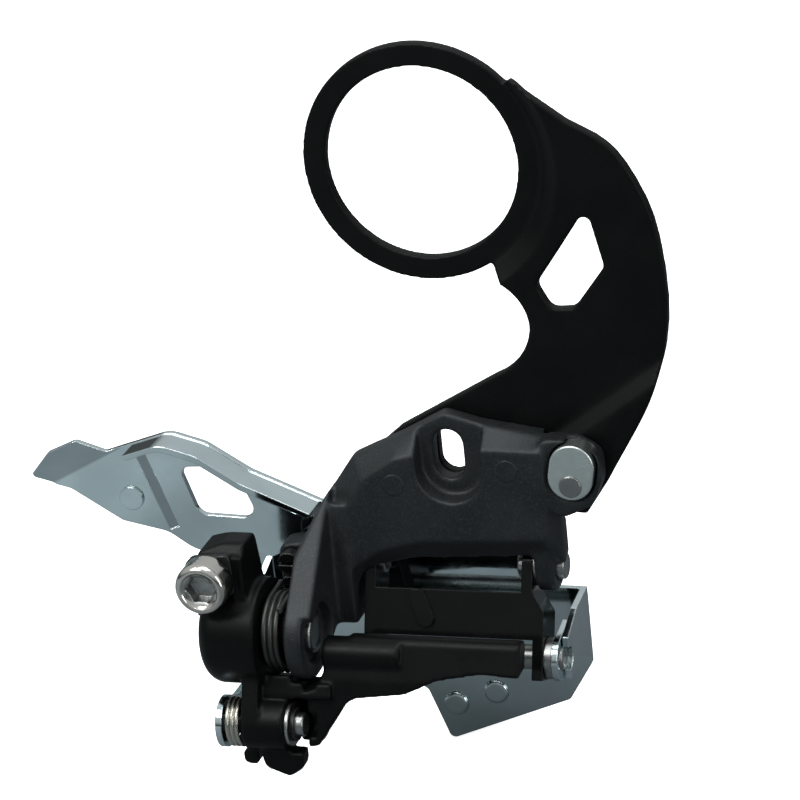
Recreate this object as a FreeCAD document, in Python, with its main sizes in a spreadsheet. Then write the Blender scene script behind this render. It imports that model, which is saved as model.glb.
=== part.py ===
import FreeCAD, Part
import os
from math import cos, degrees, hypot, radians, sin, tan

import Sketcher
from FreeCAD import Placement, Rotation, Vector

# Front derailleur with a bottom-bracket plate, in millimetres.
# The origin is the centre of the plate's ring, in the face that lies on the bottom-bracket shell.
# +X runs along the link pivots toward the front of the bicycle, +Y along the bottom-bracket axle
# toward the chainrings, and +Z from the cage toward the ring. On the bicycle +Z points down.

DIMENSIONS = {
    # Mounting plate
    "ring_bore_radius": 17.7,
    "ring_outer_radius": 21.9,
    "sheet_thickness": 2.5,
    "joggle_depth": 3.0,
    "joggle_outer_radius": 25.6,
    "lobe_front": -5.0,
    "slot_x": 1.8,
    "slot_z": -53.2,
    "slot_radius": 2.75,
    "slot_half_travel": 2.0,
    # Plate screw and its nut
    "screw_x": 25.3,
    "screw_z": -57.0,
    "screw_radius": 2.0,
    "screw_hole_radius": 2.15,
    "screw_head_radius": 3.6,
    "screw_head_height": 3.2,
    "nut_front": -10.6,
    "nut_seat": -6.8,
    "nut_half_width": 4.1,
    "nut_gap": 0.35,
    # Bracket
    "bracket_back": -3.0,
    "bracket_rim_front": -6.5,
    "bracket_front": -10.5,
    "bracket_wall_back": -7.8,
    "front_ear_left": 16.5,
    "front_ear_width": 3.5,
    "inner_ear_left": -21.5,
    "inner_ear_width": 4.1,
    "rear_ear_left": -25.9,
    "rear_ear_width": 3.4,
    "rear_ear_radius": 8.5,
    "rear_ear_recess_radius": 5.65,
    "rear_ear_recess_depth": 1.0,
    # Pivot axes, all along X
    "front_axis_y": -3.5,
    "front_axis_z": -75.85,
    "main_axis_y": -20.0,
    "main_axis_z": -83.3,
    "link_y": -6.5,
    "link_z": -15.6,
    "front_pin_radius": 2.5,
    "main_pin_radius": 3.0,
    "main_pin_head_radius": 3.75,
    "cage_front_pin_radius": 2.25,
    "cage_rear_pin_radius": 2.2,
    "front_pins_end": 21.4,
    "running_gap": 0.05,
    "open_pivot_gap": 0.2,
    # Outer link
    "hub_left": -42.6,
    "hub_width": 11.5,
    "hub_radius": 9.9,
    "arbor_radius": 5.6,
    "arbor_width": 4.8,
    "bush_outer_radius": 4.0,
    "bush_width": 5.0,
    "cheek_left": -34.9,
    "cheek_width": 3.2,
    "lower_hub_radius": 5.0,
    "lower_hub_width": 8.0,
    "skirt_left": -23.6,
    "skirt_width": 40.1,
    # Cable clamp
    "clamp_x": -39.5,
    "clamp_z": -70.5,
    "clamp_seat": -23.5,
    "clamp_plate_thickness": 1.6,
    "clamp_screw_radius": 2.5,
    "clamp_head_radius": 4.9,
    "clamp_head_height": 5.2,
    # Inner link
    "inner_link_sheet": 2.0,
    "inner_link_end_radius": 4.0,
    # Cage
    "cage_sheet": 1.2,
    "cage_inner_front": 4.0,
    "cage_gap": 8.8,
    "cage_outer_near_radius": 94.5,
    "front_lug_left": 19.8,
    "front_lug_radius": 4.2,
    "rear_lug_left": -39.9,
    "rear_lug_radius": 4.8,
    "nose_rivet_radius": 1.6,
    "tail_screw_x": -65.8,
    "tail_screw_z": -68.6,
    "tail_screw_radius": 1.6,
    "tail_spacer_radius": 2.7,
    # Springs
    "return_wire_radius": 0.55,
    "return_coil_radius": 7.0,
    "return_pitch": 1.15,
    "cage_wire_radius": 0.43,
    "cage_coil_radius": 4.2,
    "cage_pitch": 0.9,
    # Limit screws
    "limit_screw_x": -31.0,
    "low_screw_z": -75.6,
    "high_screw_z": -80.4,
    "limit_screw_radius": 1.5,
    "limit_head_radius": 2.1,
}

LINK_ANGLE = 112.6   # degrees from +Y, turning down past -Z, to the direction of both links at rest
FAR = 200.0          # longer than the whole derailleur

doc = FreeCAD.newDocument("FrontDerailleur")
sheet = doc.addObject("Spreadsheet::Sheet", "Dimensions")
for row, (alias, number) in enumerate(DIMENSIONS.items(), start=1):
    sheet.set(f"A{row}", alias)
    sheet.set(f"B{row}", str(number))
    sheet.setAlias(f"B{row}", alias)
doc.recompute()

SUB_PARTS = []


def size(alias):
    """The sheet's value for one alias."""
    return float(getattr(sheet, alias))


def number(value):
    """A plain number, or an expression such as "main_axis_y + link_y" worked out on the sheet."""
    if isinstance(value, str):
        return float(sheet.evalExpression(value))
    return float(value)


def bound(expression):
    """The same expression written for another object: each alias gets the sheet's name."""
    words = str(expression)
    for alias in sorted(DIMENSIONS, key=len, reverse=True):
        words = words.replace(alias, "\0" + str(list(DIMENSIONS).index(alias)) + "\0")
    for index, alias in enumerate(DIMENSIONS):
        words = words.replace(f"\0{index}\0", f"Dimensions.{alias}")
    return words


# ---------------------------------------------------------------- outlines

def rounded(corners):
    """Closed outline through corners (x, y) or (x, y, radius)."""
    points = [Vector(c[0], c[1], 0) for c in corners]
    radii = [c[2] if len(c) > 2 else 0.0 for c in corners]
    starts, ends, arcs = [], [], []
    for i, point in enumerate(points):
        before = (points[i - 1] - point).normalize()
        after = (points[(i + 1) % len(points)] - point).normalize()
        if radii[i] == 0:
            starts.append(point)
            ends.append(point)
            arcs.append(None)
            continue
        half = before.getAngle(after) / 2
        reach = radii[i] / tan(half)
        first = point + before * reach
        last = point + after * reach
        middle_way = (before + after).normalize()
        centre = point + middle_way * (radii[i] / sin(half))
        starts.append(first)
        ends.append(last)
        arcs.append(Part.Arc(first, centre - middle_way * radii[i], last))
    outline = []
    for i in range(len(points)):
        if arcs[i]:
            outline.append(arcs[i])
        following = starts[(i + 1) % len(points)]
        if (following - ends[i]).Length > 1e-6:
            outline.append(Part.LineSegment(ends[i], following))
    return outline


def smooth_curve(points):
    """One spline through the points (x, y)."""
    curve = Part.BSplineCurve()
    curve.interpolate([Vector(x, y, 0) for x, y in points])
    return curve


def capsule(x1, y1, x2, y2, radius):
    """Two half circles joined by straight sides."""
    a, b = Vector(x1, y1, 0), Vector(x2, y2, 0)
    along = (b - a).normalize()
    across = Vector(-along.y, along.x, 0) * radius
    ahead = along * radius
    return [
        Part.LineSegment(a - across, b - across),
        Part.Arc(b - across, b + ahead, b + across),
        Part.LineSegment(b + across, a + across),
        Part.Arc(a + across, a - ahead, a - across),
    ]


class Circle:
    """A circle whose place and radius are expressions on the sheet."""

    def __init__(self, x, y, radius):
        self.x, self.y, self.radius = x, y, radius


def add_bound_circle(sketch, circle):
    """Draws the circle and ties its centre and radius to the sheet."""
    centre = Vector(number(circle.x), number(circle.y), 0)
    index = sketch.addGeometry(Part.Circle(centre, Vector(0, 0, 1), number(circle.radius)), False)
    ties = (("DistanceX", circle.x), ("DistanceY", circle.y))
    for kind, value in ties:
        row = sketch.addConstraint(Sketcher.Constraint(kind, -1, 1, index, 3, number(value)))
        sketch.setExpression(f"Constraints[{row}]", bound(value))
    row = sketch.addConstraint(Sketcher.Constraint("Radius", index, number(circle.radius)))
    sketch.setExpression(f"Constraints[{row}]", bound(circle.radius))


# ---------------------------------------------------------------- features

def new_body(label):
    """An empty body that becomes one sub-part."""
    body = doc.addObject("PartDesign::Body", label)
    body.Label = label
    SUB_PARTS.append(body)
    return body


def sketch_on(body, plane, start, loops, turn=None):
    """A sketch on one of the body's origin planes, moved to `start` along that plane's world axis."""
    sketch = body.newObject("Sketcher::SketchObject", f"{body.Name}_{plane}")
    base = next(f for f in body.Origin.OriginFeatures if f.Role == f"{plane}_Plane")
    sketch.AttachmentSupport = [(base, "")]
    sketch.MapMode = "FlatFace"
    if turn:
        sketch.AttachmentOffset = turn
    else:
        sign = "-" if plane == "XZ" else ""
        sketch.setExpression("AttachmentOffset.Base.z", f"{sign}({bound(start)})")
    for loop in loops:
        if isinstance(loop, Circle):
            add_bound_circle(sketch, loop)
        else:
            for edge in loop:
                sketch.addGeometry(edge, False)
    return sketch


def add(body, plane, loops, start, depth):
    """Adds material from `start` for `depth` in the positive direction of the plane's axis."""
    feature = body.newObject("PartDesign::Pad", f"{body.Name}_Pad")
    feature.Profile = sketch_on(body, plane, start, loops)
    feature.setExpression("Length", bound(depth))
    feature.Reversed = plane == "XZ"
    return feature


def cut(body, plane, loops, start, depth):
    """Removes material from `start` for `depth` in the positive direction of the plane's axis."""
    doc.recompute()
    volume = body.Shape.Volume
    feature = body.newObject("PartDesign::Pocket", f"{body.Name}_Pocket")
    feature.Profile = sketch_on(body, plane, start, loops)
    feature.setExpression("Length", bound(depth))
    feature.Reversed = plane != "XZ"
    doc.recompute()
    if body.Shape.Volume > volume - 1e-3:
        raise RuntimeError(f"{body.Label}: a pocket on {plane} at {start} removes nothing")
    return feature


def add_turned(body, placement, loops, depth):
    """Adds material both ways from a sketch in a turned plane."""
    feature = body.newObject("PartDesign::Pad", f"{body.Name}_Pad")
    feature.Profile = sketch_on(body, "XY", 0, loops, turn=placement)
    feature.setExpression("Length", bound(depth))
    feature.Midplane = True
    return feature


def trim(body, plane, loop):
    """Keeps only what lies inside the outline, seen along the plane's axis."""
    border = rounded([(-FAR, -FAR), (FAR, -FAR), (FAR, FAR), (-FAR, FAR)])
    feature = body.newObject("PartDesign::Pocket", f"{body.Name}_Trim")
    feature.Profile = sketch_on(body, plane, 0, [border, loop])
    feature.Type = "ThroughAll"
    feature.Midplane = True
    return feature


def loft(body, start_a, loop_a, start_b, loop_b):
    """Adds a ruled transition between two outlines of equally many corners, along Y."""
    feature = body.newObject("PartDesign::AdditiveLoft", f"{body.Name}_Loft")
    feature.Profile = sketch_on(body, "XZ", start_a, [loop_a])
    feature.Sections = [sketch_on(body, "XZ", start_b, [loop_b])]
    feature.Ruled = True
    return feature


def round_edges(body, radius, wanted):
    """Rounds the edges of the body that `wanted` picks."""
    doc.recompute()
    base = body.Tip
    names = [f"Edge{i}" for i, edge in enumerate(base.Shape.Edges, start=1) if wanted(edge)]
    if not names:
        raise RuntimeError(f"{body.Label}: no edge to round")
    feature = body.newObject("PartDesign::Fillet", f"{body.Name}_Fillet")
    feature.Base = (base, names)
    feature.Radius = radius
    doc.recompute()
    return feature


def is_rim(edge, axis, place, radius):
    """True for a full circle of the given radius that lies at `place` along the axis."""
    curve = edge.Curve
    if not isinstance(curve, Part.Circle) or abs(curve.Radius - radius) > 0.02:
        return False
    return abs(getattr(curve.Center, axis) - place) < 0.02


def stepped_pin(label, y, z, steps):
    """A turned pin along X. Each step is (left end, length, radius)."""
    body = new_body(label)
    for left, length, radius in steps:
        add(body, "YZ", [Circle(y, z, radius)], left, length)
    return body


def link_point(along, toward_frame):
    """A point (y, z) measured from the main axis, along the outer link and square to it."""
    drop = Vector(size("link_y"), size("link_z"), 0).normalize()
    square = Vector(drop.y, -drop.x, 0)
    return (
        size("main_axis_y") + along * drop.x + toward_frame * square.x,
        size("main_axis_z") + along * drop.y + toward_frame * square.y,
    )


FRONT_Y, FRONT_Z = "front_axis_y", "front_axis_z"
MAIN_Y, MAIN_Z = "main_axis_y", "main_axis_z"
LUG_FRONT_Y, LUG_FRONT_Z = "front_axis_y + link_y", "front_axis_z + link_z"
LUG_REAR_Y, LUG_REAR_Z = "main_axis_y + link_y", "main_axis_z + link_z"


# ---------------------------------------------------------------- plate and bracket

def make_mount_plate():
    """Pressed plate: a ring, a conical joggle round it, a wide arm and a raised lobe."""
    body = new_body("mount_plate")
    thick, depth = size("sheet_thickness"), size("joggle_depth")
    lobe = size("lobe_front")
    # Across the crease between the arm and the lobe the sheet steps toward the frame.
    crease, slope_width, lead = 52.8, 3.0, 0.8
    section = rounded([
        (-12, -depth), (crease, -depth, 2), (crease + slope_width, lobe, 2), (80, lobe),
        (80, lobe + thick), (crease + slope_width - lead, lobe + thick, 2),
        (crease - lead, thick - depth, 2), (-12, thick - depth),
    ])
    crease_turn = Rotation(Vector(0, 1, 0), 54.7)
    add_turned(body, Placement(Vector(), crease_turn), [section], FAR)
    inner = size("joggle_outer_radius")
    top, bottom = radians(41), radians(-58.5)
    outline = [
        Part.Arc(Vector(inner * cos(top), inner * sin(top), 0), Vector(inner, 0, 0),
                 Vector(inner * cos(bottom), inner * sin(bottom), 0)),
    ]
    throat = [
        (inner * cos(bottom), inner * sin(bottom)), (16.6, -25.0), (18.0, -29.4), (16.6, -34.2),
        (11.2, -38.9),
    ]
    foot = [
        (11.2, -38.9), (-8.0, -49.5), (-14.0, -54.5), (-12.0, -62.0), (2.0, -62.0), (9.0, -58.6),
        (14.0, -57.5), (17.0, -64.0), (26.3, -64.8), (30.6, -58.4),
    ]
    back = [
        (30.6, -58.4), (35.8, -49.6), (39.4, -42.8), (42.0, -35.2), (43.5, -25.2), (43.1, -16.4),
        (41.6, -8.0), (39.2, -2.2), (34.9, 4.1), (29.8, 7.5), (24.4, 10.9),
        (inner * cos(top), inner * sin(top)),
    ]
    outline.append(smooth_curve(throat))
    for first, last in zip(foot, foot[1:]):
        outline.append(Part.LineSegment(Vector(*first, 0), Vector(*last, 0)))
    outline.append(smooth_curve(back[:-1]))
    outline.append(Part.LineSegment(Vector(*back[-2], 0), Vector(*back[-1], 0)))
    trim(body, "XZ", outline)
    add(body, "XZ", [Circle(0, 0, "ring_outer_radius")], 0, "sheet_thickness")
    band = sketch_on(body, "XY", 0, [rounded([
        (size("ring_outer_radius"), 0), (inner - 0.3, -depth), (inner, -depth),
        (inner, thick - depth), (inner - 0.9, thick - depth), (size("ring_outer_radius"), thick),
    ])], turn=Placement(Vector(), Rotation(Vector(0, 1, 0), -degrees(top + bottom) / 2)))
    joggle = body.newObject("PartDesign::Revolution", "mount_plate_Joggle")
    joggle.Profile = band
    joggle.ReferenceAxis = (band, ["V_Axis"])
    joggle.Angle = degrees(top - bottom)
    joggle.Midplane = True
    # The arm leaves the ring almost tangentially, so the joggle is cut back along a straight line.
    tangent = rounded([(13.8, 17.6), (19.0, 15.0), (28.0, 8.0), (32, 20), (14, 24)])
    cut(body, "XZ", [tangent], -10, 20)
    cut(body, "XZ", [Circle(0, 0, "ring_bore_radius")], -10, 20)
    window = rounded([
        (29.0, -8.9, 1.2), (30.6, -9.2, 1.0), (32.6, -18.2, 1.5), (26.6, -26.0, 2.0),
        (22.3, -26.3, 2.0), (19.9, -21.7, 1.6), (24.0, -16.0, 3.0),
    ])
    cut(body, "XZ", [window], -10, 20)
    x, z, half = size("slot_x"), size("slot_z"), size("slot_half_travel")
    cut(body, "XZ", [capsule(x, z - half, x, z + half, size("slot_radius"))], -10, 20)
    cut(body, "XZ", [Circle("screw_x", "screw_z", "screw_hole_radius")], -10, 20)


def bracket_panel(body):
    """Rim outline at the plate, and the smaller raised panel in front of it."""
    rim = [
        (-16.7, -54.1), (-6.9, -49.5), (1.3, -45.1), (8.0, -47.0), (22.0, -49.3), (22.0, -74.2),
        (-8.0, -75.8), (-14.5, -77.5), (-18.4, -80.6), (-26.0, -70.0), (-22.4, -62.0),
    ]
    panel = [
        (-13.9, -57.2), (-7.5, -52.8), (0.5, -51.2), (8.8, -50.6), (20.2, -50.6), (20.1, -67.8),
        (-3.5, -68.9), (-11.3, -70.8), (-17.6, -75.0), (-20.4, -71.5), (-17.6, -63.4),
    ]
    add(body, "XZ", [rounded(rim)], "bracket_rim_front", "bracket_back - bracket_rim_front")
    loft(body, "bracket_rim_front", rounded(rim), "bracket_front", rounded(panel))


def bracket_ears(body):
    """Two ears for the front pivot and the larger rear ear for the main pivot."""
    y, z = size("front_axis_y"), size("front_axis_z")
    low, reach = z - 4.5, 4.4
    front_ear = rounded([
        (-9.6, -62), (y - reach, low, reach - 0.1), (y + reach, low, reach - 0.1),
        (y + reach, -70, 1), (-4.9, -65.5),
    ])
    add(body, "YZ", [front_ear], "front_ear_left", "front_ear_width")
    inner_ear = rounded([
        (-10.4, -62), (-11.5, -76, 2), (-11.5, -86.0, 1.5), (-5, -86.0, 3),
        (y + reach, low, reach - 0.1), (y + reach, -70, 1), (-3, -64),
    ])
    add(body, "YZ", [inner_ear], "inner_ear_left", "inner_ear_width")
    arm = rounded([
        (-6.5, -58.5), (-9.5, -60.5, 6), (-26.3, -77.6), (-20.0, -83.3), (-16.8, -88.0), (-12.5, -85.8),
        (-5.0, -86.0, 3), (-3.0, -80.0, 2), (-3.0, -62.0),
    ])
    add(body, "YZ", [arm], "rear_ear_left", "inner_ear_left - rear_ear_left + 0.6")
    disc = Circle(MAIN_Y, MAIN_Z, "rear_ear_radius")
    add(body, "YZ", [disc], "rear_ear_left", "rear_ear_width")


def make_main_bracket():
    """Cast bracket: raised panel, nut boss, slot recess, three ears and a hollow back."""
    body = new_body("main_bracket")
    bracket_panel(body)
    bracket_ears(body)
    boss = rounded([
        (19.4, -48.5, 2), (26.3, -48.7, 4), (30.6, -51.2, 3), (30.8, -56.5, 4),
        (28.8, -61.2, 4), (22.6, -64.0, 2.5), (19.4, -61.0, 2),
    ])
    add(body, "XZ", [boss], -9.8, 4.8)
    stop_lug = rounded([(-33.8, -73.2, 2), (-24.0, -71.8), (-24.0, -84.4), (-33.8, -83.2, 2)])
    add(body, "XZ", [stop_lug], -5.0, 5.6)
    outside = rounded([(-45, -40), (-10.5, -40), (-16.2, -52.8), (-22.4, -62.0), (-25.8, -69.3),
                       (-36, -69.3)])
    cut(body, "XZ", [outside], -40, 60)
    recess = rounded([(-3.4, -36), (-3.4, -61.0, 6), (8.8, -61.0, 6), (8.8, -36)])
    cut(body, "XZ", [recess], -12, "bracket_rim_front + 12")
    hollow = rounded([(-17.4, -66, 3), (16.5, -66, 3), (16.5, -82), (-17.4, -82)])
    cut(body, "XZ", [hollow], "bracket_wall_back", 20)
    # The inner link's left arm stands partly inside the lip at rest.
    y, z = size("front_axis_y"), size("front_axis_z")
    arm_room = capsule(y, z, y + size("link_y"), z + size("link_z"), size("inner_link_end_radius") + 0.2)
    cut(body, "YZ", [arm_room], -16.4, 3.0)
    over_lobe = rounded([(4, -60.2), (32, -40.4), (34, -66), (4, -66)])
    cut(body, "XZ", [over_lobe], "lobe_front", 10)
    x, z, half = size("slot_x"), size("slot_z"), size("slot_half_travel")
    cut(body, "XZ", [capsule(x, z - half, x, z + half, size("slot_radius"))], -20, 30)
    width = size("nut_half_width") + size("nut_gap")
    cut(body, "XZ", [capsule(25.3, -55.6, 25.75, -53.25, width)], -20, "nut_seat + 20")
    cut(body, "XZ", [Circle("screw_x", "screw_z", "screw_hole_radius")], -20, 30)
    cut(body, "YZ", [Circle(FRONT_Y, FRONT_Z, "front_pin_radius")],
        "inner_ear_left + 1.1", "front_pins_end - inner_ear_left + 2")
    cut(body, "YZ", [Circle(MAIN_Y, MAIN_Z, "main_pin_radius")],
        "rear_ear_left - 1", "rear_ear_width + 1.2")
    cut(body, "YZ", [Circle(MAIN_Y, MAIN_Z, "rear_ear_recess_radius")],
        "rear_ear_left + rear_ear_width - rear_ear_recess_depth", 4)
    for height in ("low_screw_z", "high_screw_z"):
        cut(body, "XZ", [Circle("limit_screw_x", height, "limit_screw_radius + running_gap")], -8, 12)


def make_plate_nut():
    """Oval nut that cannot turn in its pocket, with an off-centre thread."""
    body = new_body("plate_nut")
    outline = capsule(25.3, -55.6, 25.75, -53.25, size("nut_half_width"))
    add(body, "XZ", [outline], "nut_front", "nut_seat - nut_front")
    cut(body, "XZ", [Circle("screw_x", "screw_z", "screw_radius")], -12, 8)
    round_edges(body, 0.3, lambda e: abs(e.BoundBox.YMax - size("nut_front")) < 0.01
                and not is_rim(e, "y", size("nut_front"), size("screw_radius")))


def make_plate_bolt():
    """Socket screw put in from the chainring side."""
    body = new_body("plate_bolt")
    back = "lobe_front + sheet_thickness"
    add(body, "XZ", [Circle("screw_x", "screw_z", "screw_radius")], "nut_front - 0.25",
        f"{back} - nut_front + 0.25")
    add(body, "XZ", [Circle("screw_x", "screw_z", "screw_head_radius")], back, "screw_head_height")
    hexagon = polygon(size("screw_x"), size("screw_z"), 1.9, 6)
    cut(body, "XZ", [hexagon], f"{back} + screw_head_height - 2", 4)
    top = number(back) + size("screw_head_height")
    round_edges(body, 0.8, lambda e: is_rim(e, "y", top, size("screw_head_radius")))


def polygon(x, y, corner_radius, count):
    """Regular polygon."""
    turn = radians(360 / count)
    return rounded([(x + corner_radius * cos(i * turn), y + corner_radius * sin(i * turn))
                    for i in range(count)])


def make_limit_screw(label, height):
    """Slotted stop screw along Y through the bracket's lug."""
    body = new_body(label)
    add(body, "XZ", [Circle("limit_screw_x", height, "limit_screw_radius")], -5.4, 8.6)
    add(body, "XZ", [Circle("limit_screw_x", height, "limit_head_radius")], -7.8, 2.4)
    x, z = size("limit_screw_x"), size(height)
    cut(body, "XZ", [rounded([(x - 3, z - 0.35), (x + 3, z - 0.35), (x + 3, z + 0.35),
                              (x - 3, z + 0.35)])], -9, 2.1)


# ---------------------------------------------------------------- pivots

def make_pins():
    """The pivot pins, all turned, all along X. The inner link's upper pivot has two short pins."""
    stepped_pin("front_pivot_pin", FRONT_Y, FRONT_Z, [
        (12.5, "front_pins_end - 12.5", "front_pin_radius"),
    ])
    stepped_pin("inner_pivot_pin", FRONT_Y, FRONT_Z, [
        ("inner_ear_left + 1.1", "-12.9 - inner_ear_left - 1.1", "front_pin_radius"),
    ])
    head_back = "rear_ear_left + rear_ear_width - rear_ear_recess_depth"
    stepped_pin("main_pivot_pin", MAIN_Y, MAIN_Z, [
        ("hub_left - 1.1", f"{head_back} - hub_left + 1.1", "main_pin_radius"),
        (head_back, 1.2, "main_pin_head_radius"),
    ])
    stepped_pin("cage_front_pin", LUG_FRONT_Y, LUG_FRONT_Z, [
        (-16.9, "front_pins_end + 16.9", "cage_front_pin_radius"),
    ])
    stepped_pin("cage_rear_pin", LUG_REAR_Y, LUG_REAR_Z, [
        ("rear_lug_left - 0.9", "cheek_left + 11.0 - rear_lug_left + 0.9", "cage_rear_pin_radius"),
    ])


def make_ring(label, y, z, inner, outer, left, width):
    """A washer, bush or clip round an axis along X."""
    body = new_body(label)
    add(body, "YZ", [Circle(y, z, outer), Circle(y, z, inner)], left, width)
    return body


def make_rings():
    """Washers, clips and bushes of the pivots."""
    make_ring("main_pin_clip", MAIN_Y, MAIN_Z, "main_pin_radius", 5.0, "hub_left - 0.8", 0.7)
    make_ring("cage_pin_washer", LUG_REAR_Y, LUG_REAR_Z, "cage_rear_pin_radius + 0.1", 4.1,
              "cheek_left + lower_hub_width + 0.1", 0.6)
    make_ring("cage_pin_clip", LUG_REAR_Y, LUG_REAR_Z, "cage_rear_pin_radius", 3.1,
              "cheek_left + lower_hub_width + 0.8", 0.7)
    make_ring("main_pivot_bush_rear", MAIN_Y, MAIN_Z, "main_pin_radius + running_gap",
              "bush_outer_radius", "hub_left", "bush_width")
    make_ring("main_pivot_bush_front", MAIN_Y, MAIN_Z, "main_pin_radius + running_gap",
              "bush_outer_radius", "hub_left + hub_width + arbor_width - bush_width", "bush_width")
    make_ring("front_pivot_washer", FRONT_Y, FRONT_Z, "front_pin_radius + running_gap", 3.9,
              "front_ear_left - 0.55", 0.5)
    make_ring("cage_front_washer", LUG_FRONT_Y, LUG_FRONT_Z, "cage_front_pin_radius + 0.1", 3.9,
              "front_lug_left - 1.5", 1.4)


# ---------------------------------------------------------------- links

def make_outer_link():
    """Cast link: hub and arbor, cable arm, cheek, lower hub, bridge, long skirt and two fingers."""
    body = new_body("outer_link")
    add(body, "YZ", [Circle(MAIN_Y, MAIN_Z, "hub_radius")], "hub_left", "hub_width")
    round_edges(body, 3.4, lambda e: is_rim(e, "x", size("hub_left"), size("hub_radius")))
    add(body, "YZ", [Circle(MAIN_Y, MAIN_Z, "arbor_radius")], "hub_left + hub_width", "arbor_width")
    cable_arm = rounded([
        (-23.5, -85, 0), (-24.2, -66.6, 1.2), (-22.6, -64.6, 1.2), (-16.8, -64.6, 2.0),
        (-15.2, -72, 4), (-13.0, -85),
    ])
    add(body, "YZ", [cable_arm], "hub_left - 1.1", "hub_width - 0.9")
    cut(body, "YZ", [Circle(MAIN_Y, MAIN_Z, 5.4)], "hub_left - 3", 3)
    upper, lower = link_point(0, 0), link_point(16.9, 0)
    cheek = capsule(*upper, *lower, size("lower_hub_radius"))
    add(body, "YZ", [cheek], "cheek_left", "cheek_width")
    add(body, "YZ", [Circle(LUG_REAR_Y, LUG_REAR_Z, "lower_hub_radius")],
        "cheek_left", "lower_hub_width")
    bridge = rounded([link_point(9.2, -5.2), link_point(9.2, 2.6), link_point(12.0, 2.6),
                      link_point(12.0, -5.2)])
    add(body, "YZ", [bridge], "cheek_left + 1", "skirt_left - cheek_left + 4")
    shelf = rounded([link_point(7.9, -4.4), link_point(7.9, 2.6), link_point(9.4, 2.6),
                     link_point(9.4, -4.4)])
    add(body, "YZ", [shelf], "cheek_left + 1", "rear_ear_left - cheek_left - 1.4")
    add_skirt(body)
    # A thin web behind the cage pin joins the lower hub to the skirt.
    web = rounded([
        (-31.8, -92.3), (-18.6, -92.3), (-19.4, -98.5), (-22.6, -104.6, 0.6), (-26.8, -104.6, 0.6),
        (-27.0, -101.5), (-31.8, -101.5),
    ])
    add(body, "XZ", [web], -22.4, 2.6)
    finger = rounded([
        (-34.7, -100), (-33.2, -100), (-33.2, -106.8, 0.9), (-36.0, -106.4, 0.9), (-36.2, -104.0, 0.6),
        (-34.7, -103.8),
    ])
    add(body, "XZ", [finger], -28.6, 3.2)
    lobe = rounded([(-33.0, -101), (-28.6, -101), (-28.6, -103.6), (-24.3, -103.6),
                    (-24.3, -106.6, 1.6), (-27.2, -108.5, 1.4), (-31.8, -106.8, 1.6)])
    add(body, "XZ", [lobe], -29.2, 3.4)
    cut(body, "YZ", [Circle(MAIN_Y, MAIN_Z, "bush_outer_radius")], "hub_left - 1", 20)
    cut(body, "YZ", [Circle(LUG_REAR_Y, LUG_REAR_Z, "cage_rear_pin_radius + running_gap")],
        "cheek_left - 3", 16)
    cut(body, "XZ", [Circle("clamp_x", "clamp_z", "clamp_screw_radius")], -30, 12.5)
    cut(body, "XZ", [rounded([(-50, -64), (-50, -60), (-30, -60), (-30, -64), (-33.6, -64),
                              (-34.6, -63.8), (-41.6, -66.0), (-43.7, -69.5), (-44.2, -73)])], -40, 40)


def add_skirt(body):
    """Hollow-backed beam that reaches forward across the opening of the bracket."""
    section = rounded([
        (-21.4, -83.2, 1.6), (-24.8, -90.6, 6), (-27.6, -103.0), (-23.6, -103.0),
        (-20.3, -91.0, 6), (-17.2, -84.0, 1.2),
    ])
    add(body, "YZ", [section], "skirt_left", "skirt_width")
    below = rounded([
        (-24.1, -103.2), (-21.6, -102.8, 0.8), (-19.2, -99.4, 2), (-15.6, -94.0, 4),
        (-4.8, -92.6, 5), (1.0, -90.0, 8), (9.5, -88.6, 8), (18.0, -89.2), (18.0, -112), (-24.1, -112),
    ])
    cut(body, "XZ", [below], -30, 18)
    above = rounded([
        (-24.0, -80), (-11.4, -80), (-19.1, -86.7, 3), (-21.7, -91.8, 1), (-24.0, -92.4),
    ])
    cut(body, "XZ", [above], -30, 18)


def make_inner_link():
    """Pressed U-shaped link: two arms joined by a web on the frame side."""
    body = new_body("inner_link")
    origin = Vector(0, size("front_axis_y"), size("front_axis_z"))
    turned = Placement(origin, Rotation(Vector(1, 0, 0), -LINK_ANGLE))
    length = hypot(size("link_y"), size("link_z"))
    end, wall = size("inner_link_end_radius"), size("inner_link_sheet")
    inside, outside = 13.9, 16.2
    arm = rounded([
        (inside, -end), (inside, 5.8, 1.2), (outside, 9.4, 2.6), (outside, length + end),
        (outside + wall, length + end), (outside + wall, 8.6, 1.2), (inside + wall, 5.0, 2.6),
        (inside + wall, -end),
    ])
    add_turned(body, turned, [arm], 2 * end)
    far_arm = rounded([(-inside - wall, -end), (-inside, -end), (-inside, length + end),
                       (-inside - wall, length + end)])
    add_turned(body, turned, [far_arm], 2 * end)
    y, z = size("front_axis_y"), size("front_axis_z")
    trim(body, "YZ", capsule(y, z, y + size("link_y"), z + size("link_z"), end))
    web_place = Placement(turned)
    web_place.move(turned.Rotation.multVec(Vector(0, 0, -(end - wall / 2))))
    web = rounded([
        (-inside - wall, 7.2), (-inside, 5.0), (inside + 0.5, 5.0), (inside + 1.2, 6.6),
        (outside + 0.2, 9), (outside + 0.2, 13.6), (-inside - wall, 13.6),
    ])
    add_turned(body, web_place, [web], "inner_link_sheet")
    bump = capsule(-5.6, 6.6, -4.0, 10.4, 1.6)
    bump_place = Placement(turned)
    bump_place.move(turned.Rotation.multVec(Vector(0, 0, -(end + 0.2))))
    add_turned(body, bump_place, [bump], 1.0)
    cut(body, "YZ", [Circle(FRONT_Y, FRONT_Z, "front_pin_radius + running_gap")], -30, 60)
    cut(body, "YZ", [Circle(LUG_FRONT_Y, LUG_FRONT_Z, "cage_front_pin_radius + open_pivot_gap")],
        -30, 60)


# ---------------------------------------------------------------- cable clamp

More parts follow.
